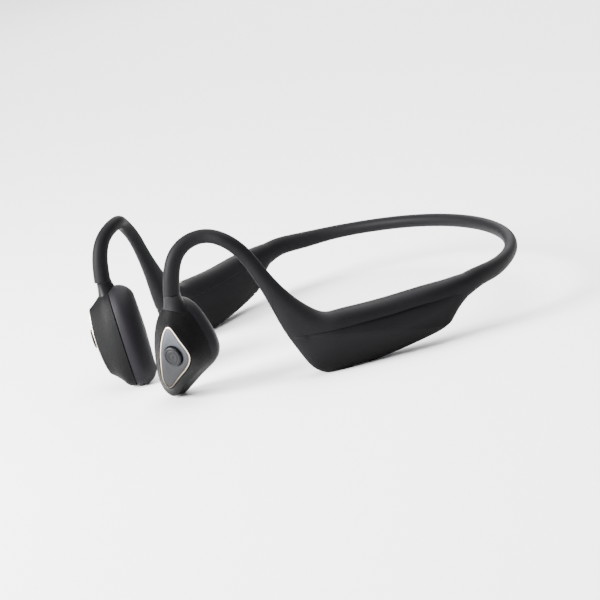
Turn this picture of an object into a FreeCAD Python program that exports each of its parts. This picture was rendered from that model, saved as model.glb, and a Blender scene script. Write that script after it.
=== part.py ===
import FreeCAD, Part
import math
import os

# Bone conduction headphones, in millimetres.
#
# Frame: +Z up, +X the wearer's left, -Y the way the wearer faces.  The origin is
# under the middle of the whole object, on the surface it stands on.
#
# The set is two mirrored sides and a neckband.  Each side is one long member: the ear
# hook, the rear housing that sits behind the ear, and the end of the neckband.  It is
# described once, for the left, by stations that are cross-sections of that member, and
# the right side is its mirror image.  The pods that press on the cheekbones have a
# frame of their own: x across, y up and z outward through the button.

# ---------------------------------------------------------------- driving sizes
NECK_CENTRE_Y = 20.3         # neckband is half an ellipse behind this line
NECK_HALF_WIDTH = 63.5
NECK_DEPTH = 45.3
NECK_HEIGHT = 16.1           # middle of the band at the housings
NECK_RISE = 1.7              # and how much higher it is at the back
WALL = 1.3                   # housing covers
WIRE_RADIUS = 0.6            # titanium wire in hooks and band
LEAD_RADIUS = 0.55           # insulated leads beside it
WIRE_OFFSET = 0.95           # wire and lead lie this far each side of the middle

POD_CENTRE = (26.7, -66.0, 16.1)
POD_AZIMUTH = -63.8          # way the button faces, in plan
POD_DROOP = 4.4              # and how far it looks down
PARTING = -8.7               # depth of the seam between pod shell and ear pad
PAD_BACK = -16.4             # depth of the skin side of the pad
POD_WALL = 1.3
PLATE_THICKNESS = 0.8
TRIM_WIDTH = 0.5
BUTTON_CENTRE = (0.7, 0.2)
BUTTON_RADIUS = 3.2
BUTTON_GAP = 0.25
BUTTON_PROUD = 1.0
BUTTON_TRAVEL = 0.4
DRIVER_CENTRE = (-1.8, -1.5)  # transducer axis in the pod
BRACKET_SCREWS = [(-5.0, -9.2), (-0.8, 6.6)]
KEY_TRAVEL = 0.4             # volume buttons
SLIDE_TRAVEL = 2.0           # power switch
SWITCH_Y = -20.4
FLAP_Y = 4.6                 # middle of the charging port's rubber flap
FLAP_LENGTH = 11.6
FLAP_WIDTH = 4.8
UNDERSIDE = -0.1             # flat under the housings, before the set is seated
CAP_BOTTOM = UNDERSIDE + 0.05
CONTROL_INSET = -1.6         # line of the controls, inward of the housing's middle
CLEAR = 0.2                  # gap round anything that moves

# Stations of the left side, from the seam at the pod to the neckband:
# middle x, y, z; heading of the outward side; lean of the height to the rear; half
# height; half thickness; squareness of the section, 2 being an ellipse; and roll,
# by which the top leans outward.
HOOK_STATIONS = [
    (24.2, -59.8, 34.4, -27, -88, 2.70, 2.70, 2.0, 0),
    (25.0, -58.5, 41.0, -29, -74, 2.60, 2.55, 2.0, 0),
    (26.0, -55.4, 46.8, -33, -49, 2.45, 2.35, 2.0, 0),
    (27.6, -50.9, 49.5, -36, -17, 2.30, 2.15, 2.0, 0),
    (30.5, -46.6, 49.8, -39, 8, 2.25, 2.10, 2.0, 0),
    (34.3, -43.4, 48.0, -41, 34, 2.25, 2.10, 2.0, 0),
    (37.4, -39.5, 43.0, -37, 57, 2.30, 2.10, 2.0, 0),
    (39.5, -36.4, 35.6, -33, 63, 2.45, 2.20, 2.0, 0),
    (41.2, -34.1, 29.3, -33, 65, 3.00, 2.60, 2.1, 2),
]
JOIN_STATION = (43.0, -31.9, 23.6, -33, 65, 4.1, 3.1, 2.3, 4)
HOUSING_STATIONS = [
    JOIN_STATION,
    (44.9, -29.5, 18.3, -31, 57, 5.6, 3.8, 2.5, 6),
    (46.8, -26.5, 13.4, -29, 43, 7.5, 4.5, 2.8, 7),
    (48.6, -23.1, 10.1, -25, 30, 10.0, 5.0, 3.0, 9),
    (51.0, -17.0, 9.1, -21, 23, 10.4, 5.1, 3.1, 11),
    (54.8, -6.2, 9.4, -20, 18, 9.6, 5.1, 3.1, 12),
    (58.2, 2.6, 10.3, -21, 14, 8.8, 4.9, 3.1, 12),
    (60.6, 8.8, 11.1, -19, 10, 8.0, 4.6, 3.0, 11),
    (62.0, 13.6, 12.0, -14, 9, 7.0, 4.2, 2.8, 9),
    (62.8, 17.2, 13.7, -8, 9, 5.3, 3.7, 2.6, 6),
    (63.2, 21.0, 15.1, -2, 8, 3.8, 3.2, 2.3, 3),
]
REAR_STATION = HOUSING_STATIONS[-1]
BAND_ANGLES = [83, 74, 60, 44, 28, 13]

# Pod outlines, clockwise from the top: the rim of the accent plate and the
# widest outline at the seam.  Both have the same corners.
PLATE_OUTLINE = [
    (1.0, 9.2), (2.9, 7.3), (4.9, 3.9), (6.5, 0.0), (4.6, -3.4), (0.4, -6.6),
    (-3.7, -9.7), (-5.5, -10.5), (-6.4, -8.9), (-5.6, -4.9), (-4.0, 0.4), (-1.6, 6.2),
]
SEAM_OUTLINE = [
    (-1.4, 14.9), (3.3, 13.0), (6.6, 7.6), (8.9, -1.0), (7.2, -5.6), (0.6, -10.2),
    (-6.8, -15.4), (-9.8, -16.6), (-12.4, -14.8), (-13.5, -9.6), (-11.8, 0.6), (-7.5, 10.6),
]


# Moves the finished set so that its origin is under its middle.
SEAT = (0.0, 0.47, 0.1)


def vec(x, y, z):
    return FreeCAD.Vector(x, y, z)


def closed_spline(points):
    """Smooth closed wire through the points."""
    curve = Part.BSplineCurve()
    curve.interpolate(Points=points, PeriodicFlag=True)
    return Part.Wire([curve.toShape()])


def loft(wires):
    return Part.makeLoft(wires, True, False)


def mirrored(shape):
    return shape.mirror(vec(0, 0, 0), vec(1, 0, 0))


# ---------------------------------------------------------------- side member
def station_axes(station):
    """Unit vectors of a station: outward, and along its height."""
    heading, lean, roll = (math.radians(station[k]) for k in (3, 4, 8))
    level = vec(math.cos(heading), math.sin(heading), 0)
    rearward = vec(-math.sin(heading), math.cos(heading), 0)
    rise = rearward * math.sin(lean) + vec(0, 0, math.cos(lean))
    outward = level * math.cos(roll) - rise * math.sin(roll)
    height = rise * math.cos(roll) + level * math.sin(roll)
    return outward, height


def section(station, inset=0.0):
    """Closed section of a station, drawn in by an inset."""
    outward, height = station_axes(station)
    half_height = station[5] - inset
    half_thickness = station[6] - inset
    power = 2.0 / station[7]
    centre = vec(*station[:3])
    points = []
    for k in range(16):
        angle = 2 * math.pi * k / 16
        c, s = math.cos(angle), math.sin(angle)
        u = math.copysign(abs(c) ** power, c) * half_thickness
        v = math.copysign(abs(s) ** power, s) * half_height
        points.append(centre + outward * u + height * v)
    return closed_spline(points)


def round_section(station, radius, offset):
    """Circle at a station, moved along its height by an offset."""
    outward, height = station_axes(station)
    normal = outward.cross(height)
    circle = Part.Circle(vec(*station[:3]) + height * offset, normal, radius)
    return Part.Wire([circle.toShape()])


def member(stations, inset=0.0):
    return loft([section(s, inset) for s in stations])


def strand(stations, radius, offset):
    """Round wire or lead that follows the stations."""
    return loft([round_section(s, radius, offset) for s in stations])


def band_station(angle):
    """Station of the neckband; the angle is 0 at the back and 90 at the left."""
    a = math.radians(angle)
    x = NECK_HALF_WIDTH * math.sin(a)
    y = NECK_CENTRE_Y + NECK_DEPTH * math.cos(a)
    z = NECK_HEIGHT + NECK_RISE * math.cos(a) ** 2
    heading = math.degrees(math.atan2(NECK_HALF_WIDTH * math.cos(a), NECK_DEPTH * math.sin(a)))
    swell = math.sin(a) ** 12
    return (x, y, z, heading, 0, 2.2 + 1.1 * swell, 2.1 + 0.7 * swell, 2.1, 0)


def mirror_station(station):
    """The same station on the right; it keeps the sense in which the band runs."""
    x, y, z, heading, lean, half_height, half_thickness, power, roll = station
    return (-x, y, z, 180 - heading, -lean, half_height, half_thickness, power, roll)


def neckband_stations():
    left = [REAR_STATION] + [band_station(a) for a in BAND_ANGLES]
    return left + [band_station(0)] + [mirror_station(s) for s in reversed(left)]


def plan_at(y):
    """Middle x, heading, middle z and roll of the left housing at a given y."""
    for a, b in zip(HOUSING_STATIONS, HOUSING_STATIONS[1:]):
        if a[1] <= y <= b[1]:
            f = (y - a[1]) / (b[1] - a[1])
            return [a[k] + f * (b[k] - a[k]) for k in (0, 3, 2, 8)]
    raise ValueError("y is outside the housing")


def in_housing(shape, y, outward=0.0, rolled=False):
    """Put a shape drawn about the Z axis (x outward, y rearward) at y in the housing."""
    x, heading, middle, roll = plan_at(y)
    placed = shape.copy()
    placed.translate(vec(outward, 0, 0))
    if rolled:
        placed.rotate(vec(0, 0, middle), vec(0, 1, 0), roll)
    placed.rotate(vec(0, 0, 0), vec(0, 0, 1), heading)
    placed.translate(vec(x, y, 0))
    return placed


def outer_half():
    """Everything outward of the middle of the housing."""
    line = Part.BSplineCurve()
    line.interpolate(Points=[vec(s[0], s[1], -5) for s in HOUSING_STATIONS])
    first, last = HOUSING_STATIONS[0], HOUSING_STATIONS[-1]
    far = NECK_HALF_WIDTH + 20
    lead_in = vec(first[0] - 6, first[1] - 9, -5)
    run_out = vec(last[0] + 0.6, last[1] + 9, -5)
    edges = [
        Part.makeLine(lead_in, vec(first[0], first[1], -5)),
        line.toShape(),
        Part.makeLine(vec(last[0], last[1], -5), run_out),
        Part.makeLine(run_out, vec(far, run_out.y, -5)),
        Part.makeLine(vec(far, run_out.y, -5), vec(far, lead_in.y, -5)),
        Part.makeLine(vec(far, lead_in.y, -5), lead_in),
    ]
    return Part.Face(Part.Wire(edges)).extrude(vec(0, 0, 60))


def stadium(length, width, bottom, top):
    """Upright prism with round ends, long in y, centred on the Z axis."""
    straight = (length - width) / 2
    box = Part.makeBox(width, 2 * straight, top - bottom, vec(-width / 2, -straight, bottom))
    ends = [Part.makeCylinder(width / 2, top - bottom, vec(0, e, bottom)) for e in (-straight, straight)]
    return box.fuse(ends).removeSplitter()


def block(thickness, length, height, bottom):
    """Upright block centred on the Z axis."""
    return Part.makeBox(thickness, length, height, vec(-thickness / 2, -length / 2, bottom))


# ---------------------------------------------------------------- pod
def pod_matrix():
    azimuth, droop = math.radians(POD_AZIMUTH), math.radians(POD_DROOP)
    out = vec(math.cos(azimuth) * math.cos(droop), math.sin(azimuth) * math.cos(droop), -math.sin(droop))
    across = vec(-math.sin(azimuth), math.cos(azimuth), 0)
    up = out.cross(across)
    return FreeCAD.Matrix(
        across.x, up.x, out.x, POD_CENTRE[0],
        across.y, up.y, out.y, POD_CENTRE[1],
        across.z, up.z, out.z, POD_CENTRE[2],
        0, 0, 0, 1)


def in_pod(shape):
    """Put a shape drawn in the pod's own frame into the left pod."""
    placed = shape.copy()
    placed.transformShape(pod_matrix())
    return placed


def offset_outline(outline, distance):
    """Outline moved outward by a distance, corner by corner."""
    moved = []
    count = len(outline)
    for k, (x, y) in enumerate(outline):
        before, after = outline[k - 1], outline[(k + 1) % count]
        dx, dy = after[0] - before[0], after[1] - before[1]
        length = math.hypot(dx, dy)
        moved.append((x - dy / length * distance, y + dx / length * distance))
    return moved


def between(weight, grow):
    """Outline between the plate's and the seam's, then moved outward."""
    mixed = [
        (p[0] + weight * (s[0] - p[0]), p[1] + weight * (s[1] - p[1]))
        for p, s in zip(PLATE_OUTLINE, SEAM_OUTLINE)
    ]
    return offset_outline(mixed, grow)


def outline_wire(outline, level):
    return closed_spline([vec(x, y, level) for x, y in outline])


def outline_loft(levels):
    """Loft of (depth, weight, grow) rows."""
    return loft([outline_wire(between(weight, grow), depth) for depth, weight, grow in levels])


def outline_prism(grow, bottom, top):
    face = Part.Face(outline_wire(between(0, grow), bottom))
    return face.extrude(vec(0, 0, top - bottom))


def disc(centre, radius, bottom, top):
    return Part.makeCylinder(radius, top - bottom, vec(centre[0], centre[1], bottom))


def collar():
    """Short flared sleeve between the hook and the pod."""
    top = section(HOOK_STATIONS[0])
    rings = []
    for drop, radius, back in ((1.6, 2.85, -8.1), (3.0, 3.4, -8.0), (4.3, 4.1, -7.9)):
        ring = Part.Wire([Part.Circle(vec(0.4, 18 - drop, back), vec(0, 1, 0), radius).toShape()])
        rings.append(in_pod(ring))
    return loft([top] + rings)


def pod_solids(sleeve, wire, lead):
    """All pieces of the left pod except its collar, by name."""
    shell = outline_loft([
        (0.0, 0.0, 0.7), (-1.0, 0.14, 0.6), (-2.6, 0.42, 0.3), (-5.2, 0.76, 0.1), (PARTING, 1.0, 0.0)])
    shell_room = outline_loft([
        (-2.0, 0.26, 0.3 - POD_WALL), (-4.8, 0.70, -POD_WALL), (PARTING - 0.1, 1.0, -POD_WALL)])
    pad = outline_loft([
        (PARTING, 1.0, -0.1), (-11.2, 1.0, 0.5), (-13.6, 1.0, -0.1), (-15.4, 1.0, -1.5), (PAD_BACK, 1.0, -2.9)])
    pad_room = outline_loft([
        (PARTING + 0.1, 1.0, -1.6), (-12.6, 1.0, -1.5), (-14.7, 1.0, -3.0)])

    plate_seat = outline_prism(TRIM_WIDTH, -PLATE_THICKNESS, 2)
    hole = disc(BUTTON_CENTRE, 1.4 + CLEAR, -4, 1)
    well = disc(BUTTON_CENTRE, BUTTON_RADIUS + BUTTON_GAP, -1, 2)

    plate = outline_prism(0, -PLATE_THICKNESS, 0).cut(well)
    trim = outline_prism(TRIM_WIDTH, -PLATE_THICKNESS, 0.12).cut(outline_prism(0, -1, 1))
    cap = disc(BUTTON_CENTRE, BUTTON_RADIUS, -0.3, BUTTON_PROUD)
    rim = [e for e in cap.Edges if abs(e.BoundBox.ZMin - BUTTON_PROUD) < 1e-6 and e.BoundBox.ZLength < 1e-6]
    cap = cap.makeFillet(0.35, rim)
    button = cap.fuse(disc(BUTTON_CENTRE, 1.4, -2.3, -0.3)).removeSplitter()

    driver = DRIVER_CENTRE
    yoke = disc(driver, 6.2, -10.6, -6.2).cut(disc(driver, 5.4, -11, -7.0))
    magnet = disc(driver, 4.0, -10.0, -7.0)
    coil = disc(driver, 5.1, -11.6, -7.9).cut(disc(driver, 4.3, -12, -7))
    spring = disc(driver, 6.6, -12.1, -11.6).cut(disc(driver, 5.6, -13, -11))
    for angle in (0, 120, 240):
        arm = Part.makeBox(4.5, 1.3, 0.5, vec(1.6, -0.65, -12.1))
        arm.rotate(vec(0, 0, 0), vec(0, 0, 1), angle)
        arm.translate(vec(driver[0], driver[1], 0))
        spring = spring.fuse(arm)
    spring = spring.fuse(disc(driver, 2.4, -14.7, -11.6)).removeSplitter()
    lugs = [disc(place, 1.8, -6.2, -5.4) for place in BRACKET_SCREWS]
    bracket = disc(driver, 6.6, -6.2, -5.4).fuse(lugs).removeSplitter()
    shafts = [disc(place, 0.5, -6.2, -3.6) for place in BRACKET_SCREWS]
    heads = [disc(place, 0.95, -6.9, -6.2) for place in BRACKET_SCREWS]
    posts = [disc(place, 1.3, -5.4, -1.6) for place in BRACKET_SCREWS]
    bracket = bracket.cut(shafts)
    screws = [shaft.fuse(head).removeSplitter() for shaft, head in zip(shafts, heads)]

    switch = Part.makeBox(4.4, 4.4, 1.5, vec(BUTTON_CENTRE[0] - 2.2, BUTTON_CENTRE[1] - 2.2, -4.4))
    switch = switch.fuse(disc(BUTTON_CENTRE, 1.1, -2.9, -2.3 - BUTTON_TRAVEL - 0.05)).removeSplitter()
    board = disc(BUTTON_CENTRE, 4.0, -5.1, -4.4)

    local = {
        "accent_plate": plate,
        "accent_trim": trim,
        "multi_button": button,
        "button_switch": switch,
        "button_board": board,
        "transducer_yoke": yoke,
        "transducer_magnet": magnet,
        "transducer_coil": coil,
        "transducer_spring": spring,
        "transducer_bracket": bracket,
        "bracket_screws": Part.makeCompound(screws),
    }
    placed = {name: in_pod(shape) for name, shape in local.items()}
    hollow_shell = in_pod(shell.cut(shell_room).fuse(posts).cut(shafts).cut(plate_seat).cut(hole))
    placed["pod_shell"] = hollow_shell.cut(sleeve).cut(wire).cut(lead)
    placed["ear_pad"] = in_pod(pad.cut(pad_room)).cut(sleeve).cut(wire).cut(lead)
    return placed


# ---------------------------------------------------------------- sides
def pod_end_station(drop, lean_in):
    """Station on the line of the collar, a drop below the seam."""
    x, y, z, heading, lean = HOOK_STATIONS[0][:5]
    return (x - 0.02 * drop, y + lean_in * drop, z - drop, heading, lean, 1, 1, 2, 0)


def side_solids():
    """Pieces that both sides have, for the left."""
    run_in = [pod_end_station(7.0, 0.04), pod_end_station(3.0, 0.04)]
    wire = strand(run_in[1:] + HOOK_STATIONS + HOUSING_STATIONS[:2], WIRE_RADIUS, WIRE_OFFSET)
    lead = strand(run_in + HOOK_STATIONS + HOUSING_STATIONS[:3], LEAD_RADIUS, -WIRE_OFFSET)
    sleeve = collar()
    solids = pod_solids(sleeve, wire, lead)
    solids["hook_collar"] = sleeve.cut(wire).cut(lead)
    solids["ear_hook"] = member(HOOK_STATIONS + [JOIN_STATION]).cut(wire).cut(lead)
    solids["ear_hook_wire"] = wire
    solids["transducer_lead"] = lead

    room = member([HOUSING_STATIONS[k] for k in range(2, 10)], WALL)
    below = Part.makeBox(60, 90, 20, vec(30, -50, UNDERSIDE - 20))
    body = member(HOUSING_STATIONS).cut(below).cut(room).cut(wire).cut(lead)
    solids["housing_body"] = body
    return solids


def neckband_strands():
    """Wire and lead of the neckband; both end inside the housings."""
    ends = HOUSING_STATIONS[8:10]
    run = neckband_stations()
    full = ends + run + [mirror_station(s) for s in reversed(ends)]
    wire = strand(full[1:-1], WIRE_RADIUS, WIRE_OFFSET)
    lead = strand(full, LEAD_RADIUS, -WIRE_OFFSET)
    return wire, lead


def left_controls():
    """Volume buttons, their switches and the boards in the left housing."""
    solids, switches = {}, []
    holes = [in_housing(block(9.0, 5.4, 1.5, CAP_BOTTOM - 0.95), -15.0, CONTROL_INSET)]
    for name, y in (("volume_up_button", -20.4), ("volume_down_button", -9.8)):
        cap = stadium(4.8, 2.6, CAP_BOTTOM, 2.2).fuse(stadium(6.0, 3.8, 2.2, 2.8)).removeSplitter()
        hole = stadium(4.8 + 2 * CLEAR, 2.6 + 2 * CLEAR, -2, 3.2)
        room = stadium(6.0 + 2 * CLEAR, 3.8 + 2 * CLEAR, 2.0, 3.4)
        solids[name] = in_housing(cap, y, CONTROL_INSET)
        holes += [in_housing(hole, y, CONTROL_INSET), in_housing(room, y, CONTROL_INSET)]
        switches.append(in_housing(block(2.8, 3.6, 1.4, 2.8 + KEY_TRAVEL + 0.1), y, CONTROL_INSET))
    solids["volume_switches"] = Part.makeCompound(switches)
    solids["main_board"] = in_housing(block(0.8, 25.0, 8.6, 5.4), -8.6, 1.2, True)
    solids["bluetooth_module"] = in_housing(block(1.5, 9.0, 6.6, 6.4), -4.0, 0.05, True)
    solids["microphone"] = in_housing(block(1.2, 3.6, 2.8, 7.2), -16.0, -1.0, True)
    screws = []
    for y in (-18.6, 1.6):
        screw = Part.makeCylinder(0.9, 0.6, vec(-0.6, 0, 12.4), vec(1, 0, 0))
        screws.append(in_housing(screw, y, 0.45, True))
    solids["board_screws"] = Part.makeCompound(screws)
    return solids, holes


def right_controls(body):
    """Battery, charging socket with its flap, power switch and light; drawn for the left."""
    solids, holes = {}, []
    flap = in_housing(stadium(FLAP_LENGTH, FLAP_WIDTH, -2, 4.4), FLAP_Y, CONTROL_INSET).common(body)
    hinge_relief = in_housing(block(6.0, 2.0, 8, -2), FLAP_Y + FLAP_LENGTH / 2, CONTROL_INSET)
    solids["port_cover"] = flap.cut(hinge_relief)
    opening = stadium(FLAP_LENGTH + 2 * CLEAR, FLAP_WIDTH + 2 * CLEAR, -2, 5)
    holes.append(in_housing(opening, FLAP_Y, CONTROL_INSET))
    socket = stadium(8.9, 3.2, 5.2, 11.2).cut(stadium(8.3, 2.6, 5.0, 10.4))
    tongue = block(0.7, 6.7, 4.6, 5.8)
    solids["usb_c_socket"] = in_housing(socket.fuse(tongue).removeSplitter(), FLAP_Y, CONTROL_INSET + 0.7)

    knob = stadium(4.2, 2.4, CAP_BOTTOM, 2.0).fuse(stadium(5.0, 3.4, 2.0, 2.6)).removeSplitter()
    solids["power_switch_knob"] = in_housing(knob, SWITCH_Y - SLIDE_TRAVEL / 2, CONTROL_INSET)
    slot = stadium(4.2 + SLIDE_TRAVEL + 2 * CLEAR, 2.4 + 2 * CLEAR, -2, 3)
    room = stadium(5.0 + SLIDE_TRAVEL + 2 * CLEAR, 3.4 + 2 * CLEAR, 1.8, 3.2)
    holes += [in_housing(shape, SWITCH_Y, CONTROL_INSET) for shape in (slot, room)]
    solids["power_slide_switch"] = in_housing(block(3.4, 6.6, 1.8, 2.9), SWITCH_Y, CONTROL_INSET)
    solids["battery_cell"] = in_housing(block(5.2, 18.0, 9.4, 5.6), -12.0, 0, True)
    solids["charging_board"] = in_housing(block(0.8, 8.0, 5.6, 7.0), 6.0, 2.4, True)
    return solids, holes


def build():
    parts = {}
    side = side_solids()
    body = side.pop("housing_body")
    half = outer_half()
    band_wire, band_lead = neckband_strands()

    left, left_holes = left_controls()
    right, right_holes = right_controls(body)
    light_at = HOUSING_STATIONS[3]
    outward, height = station_axes(light_at)
    light = Part.makeCylinder(0.8, 2.6, vec(*light_at[:3]) + height * (light_at[5] - 2.4), height)
    right["indicator_light"] = light
    right_holes.append(light)

    for name, shape in side.items():
        parts[name + "_left"] = shape
        parts[name + "_right"] = mirrored(shape)
    for suffix, holes in (("_left", left_holes), ("_right", right_holes)):
        cover = body
        for hole in holes:
            cover = cover.cut(hole)
        strands = [band_wire, band_lead]
        if suffix == "_right":
            strands = [mirrored(s) for s in strands]
        for one in strands:
            cover = cover.cut(one)
        halves = {"housing_outer_cover": cover.common(half), "housing_inner_cover": cover.cut(half)}
        for name, shape in halves.items():
            parts[name + suffix] = shape if suffix == "_left" else mirrored(shape)
    parts.update(left)
    parts.update({name: mirrored(shape) for name, shape in right.items()})

    parts["neckband_skin"] = member(neckband_stations()).cut(band_wire).cut(band_lead)
    parts["neckband_wire"] = band_wire
    parts["neckband_lead"] = band_lead
    for shape in parts.values():
        shape.translate(vec(*SEAT))
    return parts


def main():
    os.makedirs("parts", exist_ok=True)
    for name, shape in build().items():
        shape.exportStep("parts/" + name + ".step")
        box = shape.BoundBox
        print(name, len(shape.Solids), round(shape.Volume, 1), shape.isValid(),
              [round(v, 1) for v in (box.XMin, box.YMin, box.ZMin, box.XMax, box.YMax, box.ZMax)])


main()
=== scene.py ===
"""Bone conduction headphones: skins, pads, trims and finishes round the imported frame.

The set is two mirrored sides and a neckband.  A side is a row of stations, sections
of one member that is ear hook, rear housing and band end in turn; a pod is a stack of
outlines in its own frame, x across, y up and z outward through the button.  Lengths
in the tables are millimetres and every mesh is in metres.
"""

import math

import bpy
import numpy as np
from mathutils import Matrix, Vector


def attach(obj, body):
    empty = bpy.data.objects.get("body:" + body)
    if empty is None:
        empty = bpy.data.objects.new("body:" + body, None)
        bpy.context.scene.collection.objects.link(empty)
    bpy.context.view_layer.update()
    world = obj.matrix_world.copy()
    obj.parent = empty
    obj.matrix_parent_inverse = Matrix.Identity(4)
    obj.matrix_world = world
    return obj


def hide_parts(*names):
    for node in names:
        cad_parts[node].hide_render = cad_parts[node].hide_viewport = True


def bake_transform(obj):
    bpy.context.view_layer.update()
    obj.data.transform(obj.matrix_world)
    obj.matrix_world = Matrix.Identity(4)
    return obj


bl_info = {
    "name": "Bone Conduction Headphones",
    "version": (1, 0, 0),
    "blender": (4, 5, 0),
    "location": "3D View > Sidebar > Headphones",
    "description": "Builds a bone conduction headset round its packed frame",
    "category": "Object",
}

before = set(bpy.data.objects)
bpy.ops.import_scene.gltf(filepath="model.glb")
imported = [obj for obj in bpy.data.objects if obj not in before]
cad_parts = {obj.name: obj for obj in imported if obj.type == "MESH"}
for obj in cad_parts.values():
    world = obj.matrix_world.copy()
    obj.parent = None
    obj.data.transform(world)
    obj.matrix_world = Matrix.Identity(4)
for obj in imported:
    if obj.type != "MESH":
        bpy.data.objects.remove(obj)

MM = 0.001
SHARP_ANGLE = math.radians(35)
SIDES = ("left", "right")
SEAT = np.array([0.0, 0.47, 0.1])  # moves the tables' origin to the middle of the underside

# Stations: middle x, y, z; heading of the outward side; lean of the height to the
# rear; half height; half thickness; squareness; roll of the top outward.
HOOK_STATIONS = [
    (24.2, -59.8, 34.4, -27, -88, 2.70, 2.70, 2.0, 0),
    (25.0, -58.5, 41.0, -29, -74, 2.60, 2.55, 2.0, 0),
    (26.0, -55.4, 46.8, -33, -49, 2.45, 2.35, 2.0, 0),
    (27.6, -50.9, 49.5, -36, -17, 2.30, 2.15, 2.0, 0),
    (30.5, -46.6, 49.8, -39, 8, 2.25, 2.10, 2.0, 0),
    (34.3, -43.4, 48.0, -41, 34, 2.25, 2.10, 2.0, 0),
    (37.4, -39.5, 43.0, -37, 57, 2.30, 2.10, 2.0, 0),
    (39.5, -36.4, 35.6, -33, 63, 2.45, 2.20, 2.0, 0),
    (41.2, -34.1, 29.3, -33, 65, 3.00, 2.60, 2.1, 2),
]
HOUSING_STATIONS = [
    (43.0, -31.9, 23.6, -33, 65, 4.1, 3.1, 2.3, 4),
    (44.9, -29.5, 18.3, -31, 57, 5.6, 3.8, 2.5, 6),
    (46.8, -26.5, 13.4, -29, 43, 7.5, 4.5, 2.8, 7),
    (48.6, -23.1, 10.1, -25, 30, 10.0, 5.0, 3.0, 9),
    (51.0, -17.0, 9.1, -21, 23, 10.4, 5.1, 3.1, 11),
    (54.8, -6.2, 9.4, -20, 18, 9.6, 5.1, 3.1, 12),
    (58.2, 2.6, 10.3, -21, 14, 8.8, 4.9, 3.1, 12),
    (60.6, 8.8, 11.1, -19, 10, 8.0, 4.6, 3.0, 11),
    (62.0, 13.6, 12.0, -14, 9, 7.0, 4.2, 2.8, 9),
    (62.8, 17.2, 13.7, -8, 9, 5.3, 3.7, 2.6, 6),
    (63.2, 21.0, 15.1, -2, 8, 3.8, 3.2, 2.3, 3),
]
BAND_ANGLES = (83, 74, 60, 44, 28, 13)
NECK_CENTRE_Y, NECK_HALF_WIDTH, NECK_DEPTH = 20.3, 63.5, 45.3
NECK_HEIGHT, NECK_RISE = 16.1, 1.7
BAND_RINGS, BAND_COLUMNS = 360, 48
BAND_WIRE, BAND_LEAD = (0.6, 0.95), (0.55, -0.95)  # radius; offset along the height

UNDERSIDE = -0.1
CONTROL_INSET = -1.6
CLEAR = 0.2
CUT_START = -2.0
KEY_PLACES = (("volume_up_button", "volume_up", -20.4), ("volume_down_button", "volume_down", -9.8))
KEY_SIZE, KEY_TOP, KEY_ROOM_TOP = (4.8, 2.6), 2.8, 3.6
NOTCH_Y, NOTCH_WIDTH, NOTCH_LENGTH, NOTCH_RISE = -15.0, 11.0, 5.4, 0.75
SWITCH_Y, SLIDE_TRAVEL, KNOB_SIZE, KNOB_ROOM_TOP = -20.4, 2.0, (4.2, 2.4), 3.0
FLAP_Y, FLAP_SIZE, FLAP_ROOM_TOP = 4.6, (11.6, 4.8), 5.15

# Height of the rail's lower edge and of the ridge below it, along the housing.
RAIL_Y, RAIL_Z = (-34, -26, -4, 5, 18), (14.6, 13.9, 13.9, 14.4, 14.3)
RIDGE_Y = (-30, -26, -19.4, -13.7, -3.6, 4.1, 11.7, 16)
RIDGE_Z = (13.3, 13.2, 12.5, 11.4, 9.5, 7.4, 5.7, 6.6)
RAIL_STEP, PANEL_STEP = 0.24, 0.18  # depths of the line under the rail and of the inner panel
HOOK_LIP, BAND_LIP = 0.12, 0.02  # shares by which a member's end is drawn in
SIDE_TAIL, BAND_TAIL = 0.12, 0.05

POD_CENTRE = np.array([26.7, -66.0, 16.1])
POD_AZIMUTH, POD_DROOP = -63.8, 4.4
PARTING, PAD_BACK = -8.7, -16.4
BUTTON_CENTRE, BUTTON_RADIUS, BUTTON_GAP = (0.7, 0.2), 3.2, 0.25
PLATE_CROWN, PLATE_FOOT = 0.12, -0.7
COLLAR_RADIUS, COLLAR_TOP, COLLAR_DEPTH = 2.74, 17.85, -8.1
POD_BOW, BOW_MIDDLE = 0.011, 0.5
PLATE_OUTLINE = [
    (1.0, 9.2), (2.9, 7.3), (4.9, 3.9), (6.5, 0.0), (4.6, -3.4), (0.4, -6.6),
    (-3.7, -9.7), (-5.5, -10.5), (-6.4, -8.9), (-5.6, -4.9), (-4.0, 0.4), (-1.6, 6.2),
]
SEAM_OUTLINE = [
    (-1.4, 14.9), (3.3, 13.0), (6.6, 7.6), (8.9, -1.0), (7.2, -5.6), (0.6, -10.2),
    (-6.8, -15.4), (-9.8, -16.6), (-12.4, -14.8), (-13.5, -9.6), (-11.8, 0.6), (-7.5, 10.6),
]

CAMERA_AIM = Vector((0.0, -3.07, 12.2)) * MM
CAMERA_LENS, CAMERA_SENSOR = 183.0, 36.0
CAMERA_AZIMUTH, CAMERA_ELEVATION, CAMERA_ROLL = (math.radians(turn) for turn in (62.21, 13.20, -13.18))
SKY_STRENGTH, SUN_STRENGTH, SUN_SPREAD, SUN_TILT = 0.6, 6.0, 70, (-20, -14, 0)
LAMPS = (  # name; place and width in metres; watts
    ("left_panel", (-0.16, -0.70, 0.36), 0.42, 42.0),
    ("top_panel", (0.30, 0.10, 0.80), 0.6, 3.0),
    ("rear_panel", (-0.75, 0.55, 0.40), 0.5, 3.0),
)
FLOOR_REACH = 6.0


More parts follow.
